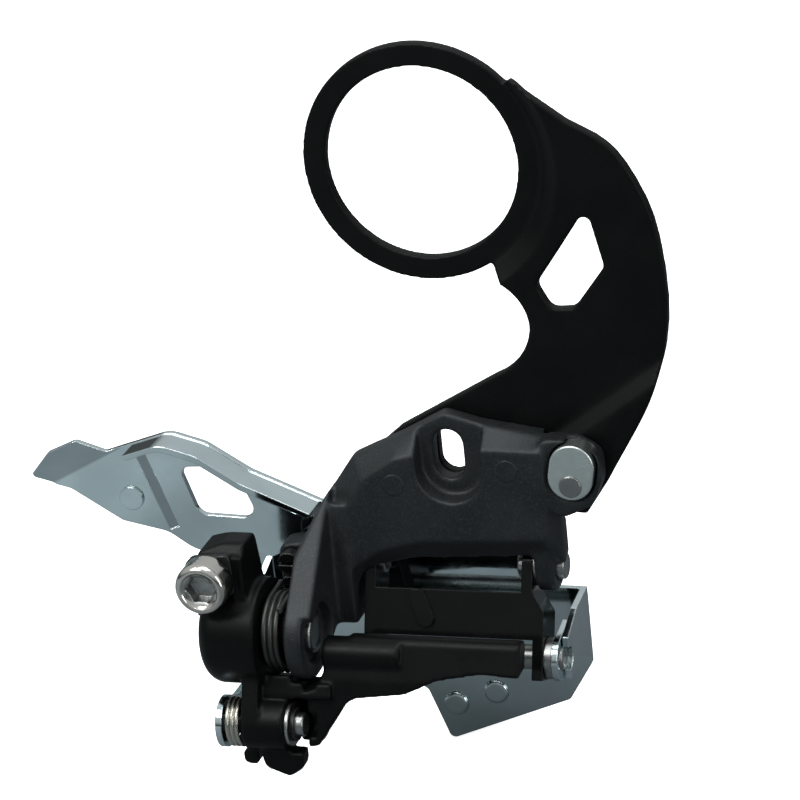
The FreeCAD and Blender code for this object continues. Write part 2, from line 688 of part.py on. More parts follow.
def make_cable_clamp():
    """Clamp plate with a cable groove, and its domed hexagon-socket bolt."""
    plate = new_body("cable_clamp_plate")
    seat, thick = size("clamp_seat"), size("clamp_plate_thickness")
    outline = rounded([(-43.9, -66.6, 2), (-35.0, -65.6, 1.2), (-34.8, -73.6, 1.5), (-43.4, -74.0, 2.5)])
    add(plate, "XZ", [outline], "clamp_seat - clamp_plate_thickness - 1.0", "clamp_plate_thickness")
    cut(plate, "XZ", [Circle("clamp_x", "clamp_z", "clamp_screw_radius + 0.1")], -40, 30)
    bolt = new_body("cable_clamp_bolt")
    under_head = "clamp_seat - clamp_plate_thickness - 1.0"
    add(bolt, "XZ", [Circle("clamp_x", "clamp_z", "clamp_screw_radius")], under_head, 8.6)
    add(bolt, "XZ", [Circle("clamp_x", "clamp_z", "clamp_head_radius")],
        f"{under_head} - clamp_head_height", "clamp_head_height")
    front = seat - thick - 1.0 - size("clamp_head_height")
    socket = polygon(size("clamp_x"), size("clamp_z"), 2.9, 6)
    cut(bolt, "XZ", [socket], front - 1, 4.2)
    round_edges(bolt, 1.3, lambda e: is_rim(e, "y", front, size("clamp_head_radius")))


# ---------------------------------------------------------------- cage

def make_cage_inner_plate():
    """Inner cage plate with its top lip, tail flare, front wall with lug, and rear lug."""
    body = new_body("cage_inner_plate")
    front, thick = size("cage_inner_front"), size("cage_sheet")
    # The tail flare bends toward the frame about a line that slants across the tail.
    bend, flare, flare_rise = -21.5, 9.0, -5.4
    section = rounded([
        (-140, front), (bend, front, 1.5), (bend + flare, front + flare_rise),
        (bend + flare, front + flare_rise + thick), (bend, front + thick, 1.5), (-140, front + thick),
    ])
    along_tail = Rotation(Vector(0, 1, 0), -(90 + 27.0))
    add_turned(body, Placement(Vector(), along_tail), [section], 260)
    sheet_edge = [
        (-81.0, -66.3, 0.8), (-85.3, -63.7, 1.0), (-80.3, -58.1, 1.0), (-74.5, -55.6, 1.2),
        (-69.9, -59.0, 1.0), (-63.8, -57.1, 3), (-56.5, -54.7, 6), (-49.4, -56.8, 6),
        (-41.0, -62.2, 8), (-35.2, -64.7, 4), (-27.9, -67.9, 2), (-12.0, -73.0, 12), (4.0, -74.6, 10),
        (12.0, -76.6, 1.5), (15.6, -84.1, 2), (22.3, -84.1, 1.6), (22.3, -99.4, 1.2), (17.5, -107.2, 1.2),
        (-6.6, -116.9, 1.2), (-10.3, -106.6, 1.0), (-15.0, -103.2, 4), (-24.0, -100.5, 6),
        (-39.9, -97.0, 1.5), (-39.9, -79.4, 1.0), (-53.6, -79.4, 8), (-59.2, -75.4, 6),
        (-68.3, -73.4, 3), (-78.2, -67.0, 3),
    ]
    trim(body, "XZ", rounded(sheet_edge))
    lip_depth = 6.0
    # The lip stands a little inside the sheet's edge.
    lip_top = [(-64.2, -57.4), (-56.5, -54.9), (-49.4, -57.0), (-41.0, -62.4), (-35.2, -64.9), (-27.9, -68.1)]
    lip = rounded([lip_top[0]] + [(x, z, 6) for x, z in lip_top[1:-1]] + [lip_top[-1]]
                  + [(-28.4, -69.0)]
                  + [(x - 0.4, z - thick, 6) for x, z in reversed(lip_top[1:-1])] + [(-63.6, -58.3)])
    add(body, "XZ", [lip], front - lip_depth, lip_depth + 0.3)
    nose_wall(body)
    rear_lug(body)
    groove = rounded([(-64.4, -58.4), (-62.4, -58.0), (-56.8, -74.4), (-58.8, -75.0)])
    cut(body, "XZ", [groove], front - 1, 1.45)
    window = rounded([
        (-55.4, -61.9, 1.6), (-48.2, -61.6, 3), (-42.9, -65.6, 3), (-40.9, -70.6, 2), (-43.0, -72.0, 1.5),
        (-52.4, -71.6, 2.5),
    ])
    cut(body, "XZ", [window], -20, 40)
    for x, z in NOSE_RIVETS:
        cut(body, "XZ", [Circle(x, z, "nose_rivet_radius")], 0, 10)
    cut(body, "XZ", [Circle("tail_screw_x", "tail_screw_z", "tail_screw_radius")], 0, 10)
    cut(body, "YZ", [Circle(LUG_FRONT_Y, LUG_FRONT_Z, "cage_front_pin_radius")], 10, 20)
    cut(body, "YZ", [Circle(LUG_REAR_Y, LUG_REAR_Z, "cage_rear_pin_radius")], -50, 20)


NOSE_RIVETS = ((-5.0, -109.2), (3.1, -106.3))


def nose_wall(body):
    """Side wall folded from the nose toward the frame, ending in the front lug."""
    lug_y, lug_z = number(LUG_FRONT_Y), number(LUG_FRONT_Z)
    radius = size("front_lug_radius")
    flat = rounded([
        (lug_y, lug_z + radius), (-3.0, -84.6, 2), (5.1, -84.1), (5.1, -98.2), (-3.0, -94.6, 4),
        (lug_y, lug_z - radius),
    ])
    add(body, "YZ", [flat], "front_lug_left + 1.35", "cage_sheet - 0.05")
    lug = capsule(lug_y, lug_z, lug_y + 4.5, lug_z + 0.6, radius)
    add(body, "YZ", [lug], "front_lug_left", "cage_sheet - 0.05")
    step = rounded([(lug_y + 3.2, lug_z + 4.6), (lug_y + 5.8, lug_z + 5.0), (lug_y + 5.8, lug_z - 3.4),
                    (lug_y + 3.2, lug_z - 3.6)])
    add(body, "YZ", [step], "front_lug_left", "cage_sheet + 1.3")


def rear_lug(body):
    """Side wall folded from the rear edge toward the frame, ending in the rear lug."""
    lug_y, lug_z = number(LUG_REAR_Y), number(LUG_REAR_Z)
    radius = size("rear_lug_radius")
    wall = rounded([
        (lug_y, lug_z + radius), (-21.0, -96.4, 3), (-11.0, -96.6, 4), (-6.4, -83.0, 4),
        (5.1, -79.6), (5.1, -97.0),
        (-6.0, -103.0, 8), (lug_y, lug_z - radius),
    ])
    add(body, "YZ", [wall], "rear_lug_left", "cage_sheet")
    add(body, "YZ", [Circle(LUG_REAR_Y, LUG_REAR_Z, "rear_lug_radius")], "rear_lug_left", "cage_sheet")


def make_cage_outer_plate():
    """Outer cage plate: an arc round the chainrings, a bridge at the nose and its riveted flange."""
    body = new_body("cage_outer_plate")
    near = size("cage_outer_near_radius")
    far, tail_far = 107.0, 99.6
    start, middle, tail = radians(-79), radians(-120), radians(-136.5)

    def polar(radius, angle):
        return Vector(radius * cos(angle), radius * sin(angle), 0)

    outline = [
        Part.Arc(polar(near, start), polar(near, (start + tail) / 2), polar(near, tail)),
        Part.LineSegment(polar(near, tail), polar(tail_far, tail)),
        Part.Arc(polar(tail_far, tail), polar(tail_far + 0.4, (tail + middle) / 2),
                 polar(tail_far + 1.6, middle)),
        Part.Arc(polar(tail_far + 1.6, middle), polar(far - 1.6, radians(-107)), polar(far, radians(-96))),
        Part.LineSegment(polar(far, radians(-96)), Vector(-7.6, -115.6, 0)),
        Part.LineSegment(Vector(-7.6, -115.6, 0), Vector(16.4, -106.2, 0)),
        Part.LineSegment(Vector(16.4, -106.2, 0), polar(near, start)),
    ]
    outer_front = "cage_inner_front + cage_sheet + cage_gap"
    add(body, "XZ", [outline], outer_front, "cage_sheet")
    bridge = rounded([(-7.6, -115.6), (16.4, -106.2), (16.0, -105.0), (-8.0, -114.4)])
    add(body, "XZ", [bridge], "cage_inner_front + cage_sheet", "cage_gap + cage_sheet")
    flange = rounded([(-7.6, -115.6), (16.4, -106.2), (13.0, -101.6, 1), (-7.4, -106.4, 1)])
    add(body, "XZ", [flange], "cage_inner_front + cage_sheet", "cage_sheet")
    for x, z in NOSE_RIVETS:
        cut(body, "XZ", [Circle(x, z, "nose_rivet_radius")], 0, 9)
    cut(body, "XZ", [Circle("tail_screw_x", "tail_screw_z", "tail_screw_radius")], 10, 10)


def make_cage_fixings():
    """Two nose rivets, the tail screw and its spacer."""
    rivets = new_body("cage_nose_rivet_rear")
    second = new_body("cage_nose_rivet_front")
    for body, (x, z) in zip((rivets, second), NOSE_RIVETS):
        add(body, "XZ", [Circle(x, z, "nose_rivet_radius")], "cage_inner_front", "2 * cage_sheet")
        add(body, "XZ", [Circle(x, z, 2.45)], "cage_inner_front - 0.75", 0.75)
        add(body, "XZ", [Circle(x, z, 2.2)], "cage_inner_front + 2 * cage_sheet", 0.6)
        front = size("cage_inner_front") - 0.75
        round_edges(body, 0.7, lambda e: is_rim(e, "y", front, 2.45))
    screw = new_body("cage_tail_screw")
    x, z = "tail_screw_x", "tail_screw_z"
    outer_back = "cage_inner_front + 2 * cage_sheet + cage_gap"
    add(screw, "XZ", [Circle(x, z, "tail_screw_radius")], "cage_inner_front",
        f"{outer_back} - cage_inner_front")
    add(screw, "XZ", [Circle(x, z, 2.4)], "cage_inner_front - 0.5", 0.5)
    add(screw, "XZ", [Circle(x, z, 3.0)], outer_back, 1.7)
    centre_x, centre_z = size("tail_screw_x"), size("tail_screw_z")
    cut(screw, "XZ", [rounded([(centre_x - 4, centre_z - 0.4), (centre_x + 4, centre_z - 0.4),
                               (centre_x + 4, centre_z + 0.4), (centre_x - 4, centre_z + 0.4)])],
        f"{outer_back} + 0.7", 3)
    spacer = new_body("cage_tail_spacer")
    add(spacer, "XZ", [Circle(x, z, "tail_spacer_radius"), Circle(x, z, "tail_screw_radius")],
        "cage_inner_front + cage_sheet", "cage_gap")


# ---------------------------------------------------------------- springs

def make_spring(label, y, z, left, turns, prefix, start_angle, legs):
    """Torsion spring round an axis along X, with a straight tangent leg at each end."""
    coil, wire, pitch = size(f"{prefix}_coil_radius"), size(f"{prefix}_wire_radius"), size(f"{prefix}_pitch")
    helix = Part.makeHelix(pitch, pitch * turns, coil)
    # The helix axis is turned from Z to X, and its first point from +X to the start angle.
    helix.rotate(Vector(), Vector(0, 0, 1), start_angle)
    helix.rotate(Vector(), Vector(0, 1, 0), 90)
    helix.translate(Vector(left, y, z))
    edge = helix.Edges[0]
    ends = [(edge.valueAt(edge.FirstParameter), edge.tangentAt(edge.FirstParameter) * -1),
            (edge.valueAt(edge.LastParameter), edge.tangentAt(edge.LastParameter))]
    first, last = ends
    path = Part.Wire([
        Part.makeLine(first[0] + first[1] * legs[0], first[0]),
        edge,
        Part.makeLine(last[0], last[0] + last[1] * legs[1]),
    ])
    profile = Part.Wire([Part.makeCircle(wire, first[0] + first[1] * legs[0], first[1])])
    shell = Part.BRepOffsetAPI.MakePipeShell(path)
    shell.setFrenetMode(True)
    shell.add(profile)
    shell.build()
    shell.makeSolid()
    spring = doc.addObject("Part::Feature", label)
    spring.Label = label
    spring.Shape = shell.shape()
    spring.Placement = Placement()
    SUB_PARTS.append(spring)


def make_springs():
    """Return spring of the outer link and the small spring at the cage's rear lug."""
    make_spring("return_spring", size("main_axis_y"), size("main_axis_z"),
                size("hub_left") + size("hub_width") + 0.87, 3, "return", 180, (6.0, 6.0))
    make_spring("cage_spring", number(LUG_REAR_Y), number(LUG_REAR_Z),
                size("rear_lug_left") + size("cage_sheet") + 0.54, 3, "cage", 90, (3.0, 3.0))


# ---------------------------------------------------------------- whole derailleur

def check_document():
    """Stops on a failed feature or on a sub-part that is empty or not valid."""
    for item in doc.Objects:
        if "Invalid" in item.State or "Error" in item.State:
            raise RuntimeError(f"{item.Label} failed: {item.State}")
    for item in SUB_PARTS:
        if item.Shape.isNull() or not item.Shape.isValid() or not item.Shape.Solids:
            raise RuntimeError(f"{item.Label} has no valid shape")


def write_parts():
    """One STEP file for each sub-part."""
    os.makedirs("parts", exist_ok=True)
    for item in SUB_PARTS:
        item.Shape.exportStep(f"parts/{item.Label}.step")
        print(item.Label, len(item.Shape.Solids), round(item.Shape.Volume, 1))


make_mount_plate()
make_main_bracket()
make_plate_nut()
make_plate_bolt()
make_limit_screw("low_limit_screw", "low_screw_z")
make_limit_screw("high_limit_screw", "high_screw_z")
make_pins()
make_rings()
make_outer_link()
make_inner_link()
make_cable_clamp()
make_cage_inner_plate()
make_cage_outer_plate()
make_cage_fixings()
make_springs()
doc.recompute()
check_document()
write_parts()
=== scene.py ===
import math

import bmesh
import bpy
from mathutils import Matrix, Vector


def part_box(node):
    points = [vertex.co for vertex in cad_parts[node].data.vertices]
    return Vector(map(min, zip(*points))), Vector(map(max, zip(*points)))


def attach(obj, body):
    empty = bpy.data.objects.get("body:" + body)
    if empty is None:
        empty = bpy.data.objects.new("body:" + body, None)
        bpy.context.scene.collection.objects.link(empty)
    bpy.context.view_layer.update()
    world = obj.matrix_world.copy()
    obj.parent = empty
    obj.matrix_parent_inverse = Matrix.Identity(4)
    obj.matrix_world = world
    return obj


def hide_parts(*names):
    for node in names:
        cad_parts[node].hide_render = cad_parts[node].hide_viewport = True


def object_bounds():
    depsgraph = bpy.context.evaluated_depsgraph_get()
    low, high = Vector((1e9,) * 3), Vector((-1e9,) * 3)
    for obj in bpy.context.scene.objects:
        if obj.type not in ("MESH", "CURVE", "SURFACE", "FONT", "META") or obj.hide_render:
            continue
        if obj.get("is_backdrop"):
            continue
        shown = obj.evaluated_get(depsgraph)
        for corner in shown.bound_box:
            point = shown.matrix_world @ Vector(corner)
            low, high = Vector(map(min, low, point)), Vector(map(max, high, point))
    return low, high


# Looks of the front derailleur, in the same frame as the CAD part. Lengths are in metres, and in
# millimetres where a comment or a docstring says so.
MM = 0.001

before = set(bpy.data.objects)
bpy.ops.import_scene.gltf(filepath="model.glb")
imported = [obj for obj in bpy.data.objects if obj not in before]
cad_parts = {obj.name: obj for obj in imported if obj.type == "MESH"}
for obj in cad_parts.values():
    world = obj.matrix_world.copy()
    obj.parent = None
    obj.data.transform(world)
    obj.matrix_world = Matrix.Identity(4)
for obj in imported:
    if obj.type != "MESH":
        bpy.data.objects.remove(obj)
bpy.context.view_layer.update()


# ---------------------------------------------------------------- materials

EDGE_RADIUS = 0.35 * MM
# Cosine between the rounded and the true normal: no edge, and an edge at full strength.
NO_EDGE, FULL_EDGE = 0.985, 0.86
PATCH_SIZE, SCUFF_SIZE = 9 * MM, 1.1 * MM   # patches of colour, gaps in the wear along an edge


class Nodes:
    """A material's node tree, with short names for the nodes used here."""

    def __init__(self, name):
        self.material = bpy.data.materials.new(name)
        self.material.use_nodes = True
        self.tree = self.material.node_tree
        self.shader = self.tree.nodes["Principled BSDF"]
        self.place = self.tree.nodes.new("ShaderNodeTexCoord").outputs["Object"]

    def link(self, source, target):
        self.tree.links.new(source, target)

    def noise(self, cell, detail=3.0, stretch=None, roughness=0.55):
        """Noise whose cells are about `cell` metres across, optionally stretched along an axis."""
        node = self.tree.nodes.new("ShaderNodeTexNoise")
        node.inputs["Scale"].default_value = 1.0 / cell
        node.inputs["Detail"].default_value = detail
        node.inputs["Roughness"].default_value = roughness
        place = self.place
        if stretch:
            mapping = self.tree.nodes.new("ShaderNodeMapping")
            mapping.inputs["Scale"].default_value = stretch
            self.link(place, mapping.inputs["Vector"])
            place = mapping.outputs["Vector"]
        self.link(place, node.inputs["Vector"])
        return node.outputs["Fac"]

    def span(self, value, low, high, to_low, to_high):
        """Maps a range to another and clamps it."""
        node = self.tree.nodes.new("ShaderNodeMapRange")
        limits = {"From Min": low, "From Max": high, "To Min": to_low, "To Max": to_high}
        for key, limit in limits.items():
            node.inputs[key].default_value = limit
        self.link(value, node.inputs["Value"])
        return node.outputs["Result"]

    def math(self, operation, a, b):
        node = self.tree.nodes.new("ShaderNodeMath")
        node.operation = operation
        for slot, value in zip(node.inputs, (a, b)):
            if isinstance(value, (int, float)):
                slot.default_value = value
            else:
                self.link(value, slot)
        return node.outputs["Value"]

    def mix(self, factor, a, b):
        """Colour a where the factor is 0, colour b where it is 1."""
        node = self.tree.nodes.new("ShaderNodeMix")
        node.data_type = "RGBA"
        self.link(factor, node.inputs[0])
        for slot, colour in ((node.inputs[6], a), (node.inputs[7], b)):
            if isinstance(colour, tuple):
                slot.default_value = (*colour, 1.0)
            else:
                self.link(colour, slot)
        return node.outputs[2]

    def edges(self):
        """Rounded shading normal, and a mask that is 1 on sharp edges."""
        bevel = self.tree.nodes.new("ShaderNodeBevel")
        bevel.samples = 4
        bevel.inputs["Radius"].default_value = EDGE_RADIUS
        geometry = self.tree.nodes.new("ShaderNodeNewGeometry")
        dot = self.tree.nodes.new("ShaderNodeVectorMath")
        dot.operation = "DOT_PRODUCT"
        self.link(bevel.outputs["Normal"], dot.inputs[0])
        self.link(geometry.outputs["Normal"], dot.inputs[1])
        return bevel.outputs["Normal"], self.span(dot.outputs["Value"], NO_EDGE, FULL_EDGE, 0.0, 1.0)

    def bump(self, height, distance, strength, normal):
        node = self.tree.nodes.new("ShaderNodeBump")
        node.inputs["Distance"].default_value = distance
        node.inputs["Strength"].default_value = strength
        self.link(height, node.inputs["Height"])
        self.link(normal, node.inputs["Normal"])
        return node.outputs["Normal"]


def surface(name, colour, shade, metallic, rough, grain, relief, worn, worn_amount,
            stretch=None, specular=0.5, speckled=0.35):
    """One finish: uneven colour, fine grain in relief and gloss, and lighter worn edges.

    The colour varies between `colour` and `shade` in patches and is `worn` at edges. `rough` is the
    lowest and highest roughness. `grain` is the size of the fine texture and `relief` its height.
    `speckled` is how strongly the grain lightens the colour.
    """
    n = Nodes(name)
    patches = n.span(n.noise(PATCH_SIZE, 4.0), 0.38, 0.64, 0.0, 1.0)
    fine = n.noise(grain, 2.0, stretch)
    base = n.mix(patches, colour, shade)
    speckle = n.span(fine, 0.52, 0.72, 0.0, speckled)
    base = n.mix(speckle, base, tuple(min(1.0, c * 1.9 + 0.006) for c in colour))
    normal, sharp = n.edges()
    broken = n.span(n.noise(SCUFF_SIZE, 5.0), 0.36, 0.60, 0.0, 1.0)
    wear = n.math("MULTIPLY", n.math("MULTIPLY", sharp, broken), worn_amount)
    n.link(n.mix(wear, base, worn), n.shader.inputs["Base Color"])
    gloss = n.math("ADD", n.span(fine, 0.3, 0.7, rough[0], rough[1]),
                   n.span(patches, 0.0, 1.0, -0.03, 0.03))
    n.link(gloss, n.shader.inputs["Roughness"])
    if metallic < 1.0:
        n.link(n.math("MAXIMUM", n.math("MULTIPLY", wear, 0.8), metallic), n.shader.inputs["Metallic"])
    else:
        n.shader.inputs["Metallic"].default_value = 1.0
    n.shader.inputs["Specular IOR Level"].default_value = specular
    n.link(n.bump(fine, relief, 0.6, normal), n.shader.inputs["Normal"])
    return n.material


FINISHES = {
    "plate_black": surface("plate_black", (0.0020, 0.0022, 0.0022), (0.0030, 0.0032, 0.0032), 0.0,
                           (0.38, 0.48), 0.35 * MM, 0.003 * MM, (0.06, 0.06, 0.06), 0.18,
                           specular=0.12, speckled=0.15),
    "cast_black": surface("cast_black", (0.016, 0.019, 0.020), (0.023, 0.026, 0.027), 0.50,
                          (0.38, 0.60), 0.28 * MM, 0.050 * MM, (0.14, 0.145, 0.145), 0.22,
                          specular=0.4, speckled=0.95),
    "link_black": surface("link_black", (0.0018, 0.0021, 0.0021), (0.0028, 0.0031, 0.0031), 0.0,
                          (0.36, 0.44), 0.5 * MM, 0.0015 * MM, (0.06, 0.06, 0.06), 0.10,
                          specular=0.11, speckled=0.08),
    "inner_black": surface("inner_black", (0.0028, 0.0030, 0.0030), (0.004, 0.0043, 0.0043), 0.0,
                           (0.10, 0.18), 0.8 * MM, 0.0012 * MM, (0.07, 0.07, 0.07), 0.15,
                           specular=0.14, speckled=0.0),
    "cage_chrome": surface("cage_chrome", (0.60, 0.69, 0.70), (0.54, 0.63, 0.64), 1.0,
                           (0.07, 0.10), 1.2 * MM, 0.0006 * MM, (0.82, 0.87, 0.88), 0.6,
                           speckled=0.0),
    "zinc_steel": surface("zinc_steel", (0.66, 0.73, 0.70), (0.56, 0.62, 0.60), 1.0,
                          (0.28, 0.42), 0.16 * MM, 0.003 * MM, (0.86, 0.88, 0.87), 0.7,
                          stretch=(0.12, 1.0, 1.0), speckled=0.15),
    "bolt_nickel": surface("bolt_nickel", (0.56, 0.54, 0.50), (0.46, 0.44, 0.41), 1.0,
                           (0.14, 0.20), 0.6 * MM, 0.001 * MM, (0.88, 0.87, 0.84), 0.6,
                           speckled=0.0),
    "pin_steel": surface("pin_steel", (0.34, 0.35, 0.34), (0.26, 0.27, 0.26), 1.0,
                         (0.24, 0.38), 0.2 * MM, 0.002 * MM, (0.66, 0.67, 0.66), 0.7,
                         speckled=0.1),
    "black_oxide_steel": surface("black_oxide_steel", (0.010, 0.010, 0.011), (0.016, 0.016, 0.017), 0.6,
                                 (0.28, 0.40), 0.3 * MM, 0.003 * MM, (0.22, 0.22, 0.22), 0.4),
    "spring_dark": surface("spring_dark", (0.045, 0.047, 0.044), (0.065, 0.068, 0.064), 0.9,
                           (0.32, 0.42), 0.5 * MM, 0.001 * MM, (0.20, 0.20, 0.19), 0.2,
                           speckled=0.0),
    "spring_bright": surface("spring_bright", (0.50, 0.49, 0.43), (0.40, 0.39, 0.34), 1.0,
                             (0.20, 0.30), 0.5 * MM, 0.001 * MM, (0.80, 0.79, 0.76), 0.3,
                             speckled=0.0),
    "bush_plastic": surface("bush_plastic", (0.02, 0.02, 0.02), (0.03, 0.03, 0.03), 0.0,
                            (0.45, 0.6), 0.3 * MM, 0.01 * MM, (0.08, 0.08, 0.08), 0.2),
}


def paint(obj, finish):
    """Gives an object one finish."""
    obj.data.materials.clear()
    obj.data.materials.append(FINISHES[finish])


def smooth(mesh):
    for face in mesh.polygons:
        face.use_smooth = True


# ---------------------------------------------------------------- pieces that stand for CAD nodes

def evaluated(obj):
    """A new mesh of the object with its modifiers applied."""
    graph = bpy.context.evaluated_depsgraph_get()
    return bpy.data.meshes.new_from_object(obj.evaluated_get(graph))


def joined_mesh(name, meshes):
    """One mesh made of several."""
    work = bmesh.new()
    for mesh in meshes:
        work.from_mesh(mesh)
    out = bpy.data.meshes.new(name)
    work.to_mesh(out)
    work.free()
    return out


def box_mesh(low, high):
    """A box between two corners in millimetres."""
    work = bmesh.new()
    bmesh.ops.create_cube(work, size=1.0)
    low, high = Vector(low) * MM, Vector(high) * MM
    size, centre = high - low, (high + low) / 2
    place = Matrix.Translation(centre) @ Matrix.Diagonal((*size, 1))
    bmesh.ops.transform(work, matrix=place, verts=work.verts)
    out = bpy.data.meshes.new("box")
    work.to_mesh(out)
    work.free()
    return out


def disc_mesh(centre, radius, depth, axis="Y"):
    """A short cylinder in millimetres, along X or Y."""
    work = bmesh.new()
    bmesh.ops.create_cone(work, cap_ends=True, segments=40, radius1=radius * MM, radius2=radius * MM,
                          depth=depth * MM)
    turn = Matrix.Rotation(math.radians(90), 4, "X" if axis == "Y" else "Y")
    bmesh.ops.transform(work, matrix=Matrix.Translation(Vector(centre) * MM) @ turn, verts=work.verts)
    out = bpy.data.meshes.new("disc")
    work.to_mesh(out)
    work.free()
    return out


WELD = 0.002 * MM        # CAD vertices closer than this become one
KEPT_FACES = 0.5         # share of the remeshed faces that is kept


def softened(node, body, finish, voxel, rounds, extras=(), late=()):
    """A piece that stands for a CAD node: the same solid with soft fillets on every edge.

    `voxel` is the remesh size in millimetres and `rounds` the number of smoothing passes. `extras`
    are meshes melted in before the fillets, `late` ones are added crisp afterwards.
    """
    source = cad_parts[node]
    mesh = joined_mesh(f"{node}_solid", [source.data, *extras])
    work = bmesh.new()
    work.from_mesh(mesh)
    bmesh.ops.remove_doubles(work, verts=work.verts, dist=WELD)
    work.to_mesh(mesh)
    work.free()
    piece = bpy.data.objects.new(f"{node}_soft", mesh)
    bpy.context.scene.collection.objects.link(piece)
    remesh = piece.modifiers.new("remesh", "REMESH")
    remesh.mode = "VOXEL"
    remesh.voxel_size = voxel * MM
    soften = piece.modifiers.new("soften", "SMOOTH")
    soften.factor = 0.5
    soften.iterations = rounds
    thin = piece.modifiers.new("thin", "DECIMATE")
    thin.ratio = KEPT_FACES
    final = evaluated(piece)
    if late:
        final = joined_mesh(f"{node}_soft", [final, *late])
    piece.modifiers.clear()
    piece.data = final
    smooth(final)
    if late:
        final.set_sharp_from_angle(angle=math.radians(60))
    paint(piece, finish)
    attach(piece, body)
    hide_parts(node)


TIP = 0.02   # radius in millimetres of the ring that closes a turned solid


def turned_mesh(name, axis, centre, rings, turns=72):
    """A closed turned solid along X or Y, in millimetres.

    Each ring is (place along the axis, radius or a function of the angle). `turns` is the number of
    points round a ring.
    """
    work = bmesh.new()
    loops = []
    for place, radius in rings:
        loop = []
        for i in range(turns):
            angle = 2 * math.pi * i / turns
            reach = radius(angle) if callable(radius) else radius
            across, up = reach * math.cos(angle), reach * math.sin(angle)
            if axis == "X":
                point = (place, centre[1] + across, centre[2] + up)
            else:
                point = (centre[0] + across, place, centre[2] + up)
            loop.append(work.verts.new(Vector(point) * MM))
        loops.append(loop)
    for first, second in zip(loops, loops[1:]):
        for i in range(turns):
            j = (i + 1) % turns
            work.faces.new((first[i], first[j], second[j], second[i]))
    for loop in (loops[0], loops[-1]):
        work.faces.new(loop)
    bmesh.ops.recalc_face_normals(work, faces=work.faces)
    out = bpy.data.meshes.new(name)
    work.to_mesh(out)
    work.free()
    return out


def place_piece(mesh, name, node, body, finish):
    """A shown piece that stands for a CAD node."""
    piece = bpy.data.objects.new(name, mesh)
    bpy.context.scene.collection.objects.link(piece)
    smooth(mesh)
    mesh.set_sharp_from_angle(angle=math.radians(38))
    paint(piece, finish)
    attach(piece, body)
    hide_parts(node)


def corners_mm(node):
    """Lowest corner, highest corner and centre of a CAD node, in millimetres."""
    low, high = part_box(node)
    return low / MM, high / MM, (low + high) / 2 / MM


PIN_RIM, DISH = 0.45, 0.14   # rounding of a pin's end and depth of the dish in it, in millimetres


def rounded_end(place, toward, radius):
    """Rings of a pin's end with a rounded rim and a shallow dish. `toward` is the way the end faces."""
    rings = [(place - toward * PIN_RIM * (1 - math.sin(a)), radius - PIN_RIM * (1 - math.cos(a)))
             for a in (0.0, 0.4, 0.8, 1.2, math.pi / 2)]
    inner = radius - PIN_RIM
    rings += [(place, inner * 0.84), (place - toward * 0.12, inner * 0.76),
              (place - toward * DISH, inner * 0.45), (place - toward * DISH, TIP)]
    return rings


def make_pin(node, body, steps):
    """A pin along X. Steps are (left end, right end, radius) in millimetres, from left to right."""
    _, _, centre = corners_mm(node)
    first, last = steps[0], steps[-1]
    rings = list(reversed(rounded_end(first[0], -1, first[2])))
    for before, (left, _, radius) in zip(steps, steps[1:]):
        rings += [(left, before[2]), (left, radius)]
    rings += rounded_end(last[1], 1, last[2])
    place_piece(turned_mesh(f"{node}_turned", "X", centre, rings), f"{node}_turned", node, body,
                "pin_steel")


def hexagon(apothem):
    """Distance from the centre to a hexagon's side at an angle."""
    def reach(angle):
        turn = math.radians(60)
        return apothem / math.cos((angle % turn) - turn / 2)
    return reach


def make_clamp_bolt():
    """Cable bolt: domed head with a countersunk hexagon socket, on a plain shank. In millimetres."""
    head_height, shank, chamfer = 5.2, 2.5, 0.4
    dome_height, dome_inset, socket_shade_radius = 1.4, 1.2, 2.9
    low, high, _ = corners_mm("cable_clamp_bolt")
    head = (high.x - low.x) / 2
    centre = ((low.x + high.x) / 2, 0, (low.z + high.z) / 2)
    front, under = low.y, low.y + head_height
    rings = [(high.y, TIP), (high.y, shank - chamfer), (high.y - chamfer, shank), (under, shank),
             (under, head - 0.2), (under - 0.25, head)]
    for angle in (0.0, 0.25, 0.5, 0.75, 1.0, 1.25, 1.45):
        rings.append((front + dome_height - dome_height * math.sin(angle),
                      head - dome_inset * (1 - math.cos(angle))))
    # Depth behind the head's front and radius: rim, countersink, hexagon socket and its floor.
    socket = [(0.03, head - 1.3), (0.5, head - 1.65), (0.6, 3.0),
              (0.95, hexagon(2.45)), (3.2, hexagon(2.4)), (3.9, TIP)]
    rings += [(front + depth, radius) for depth, radius in socket]
    mesh = turned_mesh("cable_bolt_turned", "Y", centre, rings, 96)
    place_piece(mesh, "cable_bolt_turned", "cable_clamp_bolt", "outer_link", "bolt_nickel")
    # The socket's faces take the darker pin steel: painted shade inside the socket.
    mesh.materials.append(FINISHES["pin_steel"])
    for face in mesh.polygons:
        away = math.hypot(face.center.x / MM - centre[0], face.center.z / MM - centre[2])
        if away < socket_shade_radius and face.center.y / MM < under:
            face.material_index = 1


def make_inner_cage():
    """The inner cage plate, with its pressed crease as a ramp that ends in a step. In millimetres."""
    groove_floor, near_enough = 0.45, 0.06          # depth of the CAD's flat groove
    shallow_side, deep_side = 0.02, 0.88            # depths of the ramp that takes its place
    half_width, overrun = 1.4, 1.0
    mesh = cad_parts["cage_inner_plate"].data.copy()
    start, end = Vector((-63.4, 4.0, -58.2)), Vector((-57.8, 4.0, -74.7))
    reach = (end - start).length
    along = (end - start) / reach
    across = Vector((-along.z, 0, along.x))
    for vertex in mesh.vertices:
        away = vertex.co / MM - start
        on_floor = abs(away.y - groove_floor) < near_enough
        in_width = abs(away.dot(across)) < half_width
        in_length = -overrun < away.dot(along) < reach + overrun
        if on_floor and in_width and in_length:
            depth = shallow_side if away.dot(across) < 0 else deep_side
            vertex.co.y = (start.y + depth) * MM
    place_piece(mesh, "cage_inner_pressed", "cage_inner_plate", "cage", "cage_chrome")


COARSE = 1.0

